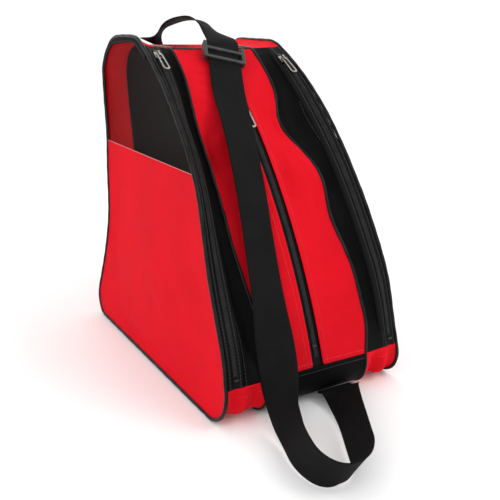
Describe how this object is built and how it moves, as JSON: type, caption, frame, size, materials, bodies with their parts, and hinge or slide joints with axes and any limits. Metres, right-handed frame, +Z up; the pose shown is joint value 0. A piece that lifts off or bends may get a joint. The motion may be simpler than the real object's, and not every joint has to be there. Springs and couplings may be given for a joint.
{
  "type": "skate bag",
  "caption": "Boot-shaped skate bag of red and black cloth: three zipped compartments side by side, mesh windows, piped seams and one long webbing shoulder strap with a buckle.",
  "frame": {"origin": "on the ground under the middle of the bag, without the strap", "axes": "+X to the bag's right seen from its toe side, -Y towards the toe, +Z up"},
  "size_m": [0.22, 0.4929, 0.3717],
  "materials": {
    "red_cloth": "red oxford weave polyester",
    "black_cloth": "black oxford weave polyester",
    "mesh": "sheer black mesh",
    "piping": "glossy black vinyl piping",
    "zip_tape": "black woven tape",
    "zip_coil": "black nylon coil",
    "zip_metal": "nickel plated, slightly dull",
    "webbing": "black ribbed webbing",
    "buckle": "dark grey moulded acetal",
    "board": "grey sheet plastic"
  },
  "bodies": {
    "bag": {"base_board": "board", "base_panel": "black_cloth", "bottom_anchor": "webbing", "left_back_gusset": "red_cloth", "left_bottom_gusset": "red_cloth", "left_divider": "black_cloth", "left_front_gusset": "black_cloth", "left_inner_piping": "piping", "left_mesh_window": "mesh", "left_outer_piping": "piping", "left_side_panel": "red_cloth", "left_top_gusset": "red_cloth", "left_zip_coil": "zip_coil", "left_zip_stops": "zip_metal", "left_zip_tape": "zip_tape", "middle_back_panel": "red_cloth", "middle_front_left": "red_cloth", "middle_front_right": "red_cloth", "middle_top_panel": "red_cloth", "middle_zip_coil": "zip_coil", "middle_zip_stops": "zip_metal", "middle_zip_tape": "zip_tape", "right_back_gusset": "red_cloth", "right_bottom_gusset": "red_cloth", "right_divider": "black_cloth", "right_front_gusset": "black_cloth", "right_inner_piping": "piping", "right_mesh_window": "mesh", "right_outer_piping": "piping", "right_side_panel": "red_cloth", "right_top_gusset": "red_cloth", "right_zip_coil": "zip_coil", "right_zip_stops": "zip_metal", "right_zip_tape": "zip_tape", "shoulder_strap": "webbing", "top_anchor": "webbing", "top_piping": "piping"},
    "right_slider": {"right_zip_slider": "zip_metal"},
    "right_pull": {"right_zip_pull": "zip_metal"},
    "left_slider": {"left_zip_slider": "zip_metal"},
    "left_pull": {"left_zip_pull": "zip_metal"},
    "middle_slider": {"middle_zip_slider": "zip_metal"},
    "middle_pull": {"middle_zip_pull": "zip_metal"},
    "buckle": {"strap_buckle": "buckle"}
  },
  "joints": [
    {"name": "right_zip_travel", "type": "hinge", "parent": "bag", "child": "right_slider", "pos_m": [0.1008, 0.26868, -0.05894], "axis": [0.9984, 0, 0.0558], "range_deg": [0, 42.3]},
    {"name": "right_pull_swing", "type": "hinge", "parent": "right_slider", "child": "right_pull", "pos_m": [0.07924, 0.02121, 0.32679], "axis": [-0.9984, 0, -0.0558], "range_deg": [0, 150]},
    {"name": "left_zip_travel", "type": "hinge", "parent": "bag", "child": "left_slider", "pos_m": [-0.10187, 0.26868, -0.05906], "axis": [0.9973, 0, -0.0732], "range_deg": [0, 43.6]},
    {"name": "left_pull_swing", "type": "hinge", "parent": "left_slider", "child": "left_pull", "pos_m": [-0.07318, 0.02976, 0.33157], "axis": [-0.9973, 0, 0.0732], "range_deg": [0, 150]},
    {"name": "middle_zip_travel", "type": "hinge", "parent": "bag", "child": "middle_slider", "pos_m": [0, 0.40893, -0.16651], "axis": [1, 0, 0], "range_deg": [0, 23.4]},
    {"name": "middle_pull_swing", "type": "hinge", "parent": "middle_slider", "child": "middle_pull", "pos_m": [0, -0.02504, 0.27922], "axis": [-1, 0, 0], "range_deg": [0, 150], "deforming": ["shoulder_strap"]},
    {"name": "buckle_slide", "type": "slide", "parent": "bag", "child": "buckle", "axis": [-0.2992, -0.7181, -0.6283], "range_m": [0, 0.03]}
  ]
}
